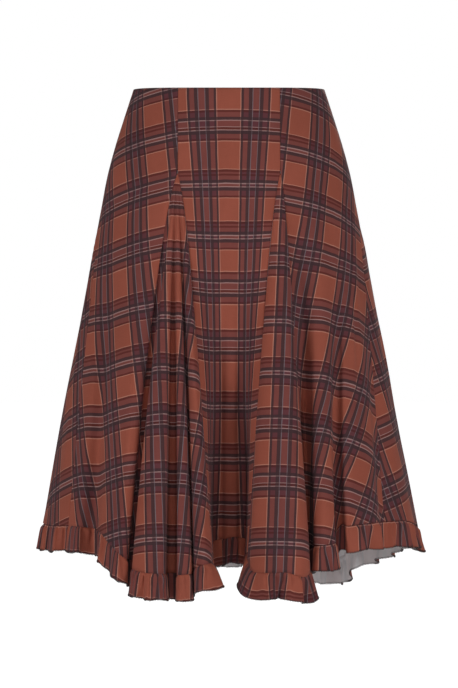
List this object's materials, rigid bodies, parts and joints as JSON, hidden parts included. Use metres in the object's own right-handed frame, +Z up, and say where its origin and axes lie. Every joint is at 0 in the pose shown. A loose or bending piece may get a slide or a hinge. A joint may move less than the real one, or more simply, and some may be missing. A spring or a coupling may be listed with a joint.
{
  "type": "a-line midi skirt",
  "caption": "A worn, hollow a-line midi skirt with princess seams, godets that flare into deep folds, a gathered hem ruffle and a concealed zip at centre back.",
  "frame": {"origin": "the middle of the waist's top edge, where a waist holds the skirt up", "axes": "+Z up, the front faces -Y, +X to the right seen from the front"},
  "size_m": [0.5299, 0.4442, 0.692],
  "materials": {
    "tartan_cotton": "matte woven cotton in a rust, burgundy and charcoal check",
    "ruffle_cotton": "the same check, cut across and gathered, with a dark overlocked edge",
    "zip_tape": "plain woven tape with a nylon coil",
    "zip_metal": "satin enamel on metal"
  },
  "bodies": {
    "skirt": {"panel_back_centre_left": "tartan_cotton", "godet_back_left": "tartan_cotton", "panel_back_left": "tartan_cotton", "godet_side_left": "tartan_cotton", "panel_front_left": "tartan_cotton", "godet_front_left": "tartan_cotton", "panel_front_centre": "tartan_cotton", "godet_front_right": "tartan_cotton", "panel_front_right": "tartan_cotton", "godet_side_right": "tartan_cotton", "panel_back_right": "tartan_cotton", "godet_back_right": "tartan_cotton", "panel_back_centre_right": "tartan_cotton", "ruffle_back_centre_left": "ruffle_cotton", "ruffle_back_left": "ruffle_cotton", "ruffle_front_left": "ruffle_cotton", "ruffle_front_centre": "ruffle_cotton", "ruffle_front_right": "ruffle_cotton", "ruffle_back_right": "ruffle_cotton", "ruffle_back_centre_right": "ruffle_cotton", "zip_tape_left": "zip_tape", "zip_tape_right": "zip_tape", "zip_slider": "zip_metal"},
    "pull": {"zip_pull": "zip_metal"}
  },
  "joints": [
    {"name": "zip_pull_swing", "type": "hinge", "parent": "skirt", "child": "pull", "pos_m": [0, 0.10599, -0.01228], "axis": [1, 0, 0], "range_deg": [0, 150]}
  ]
}
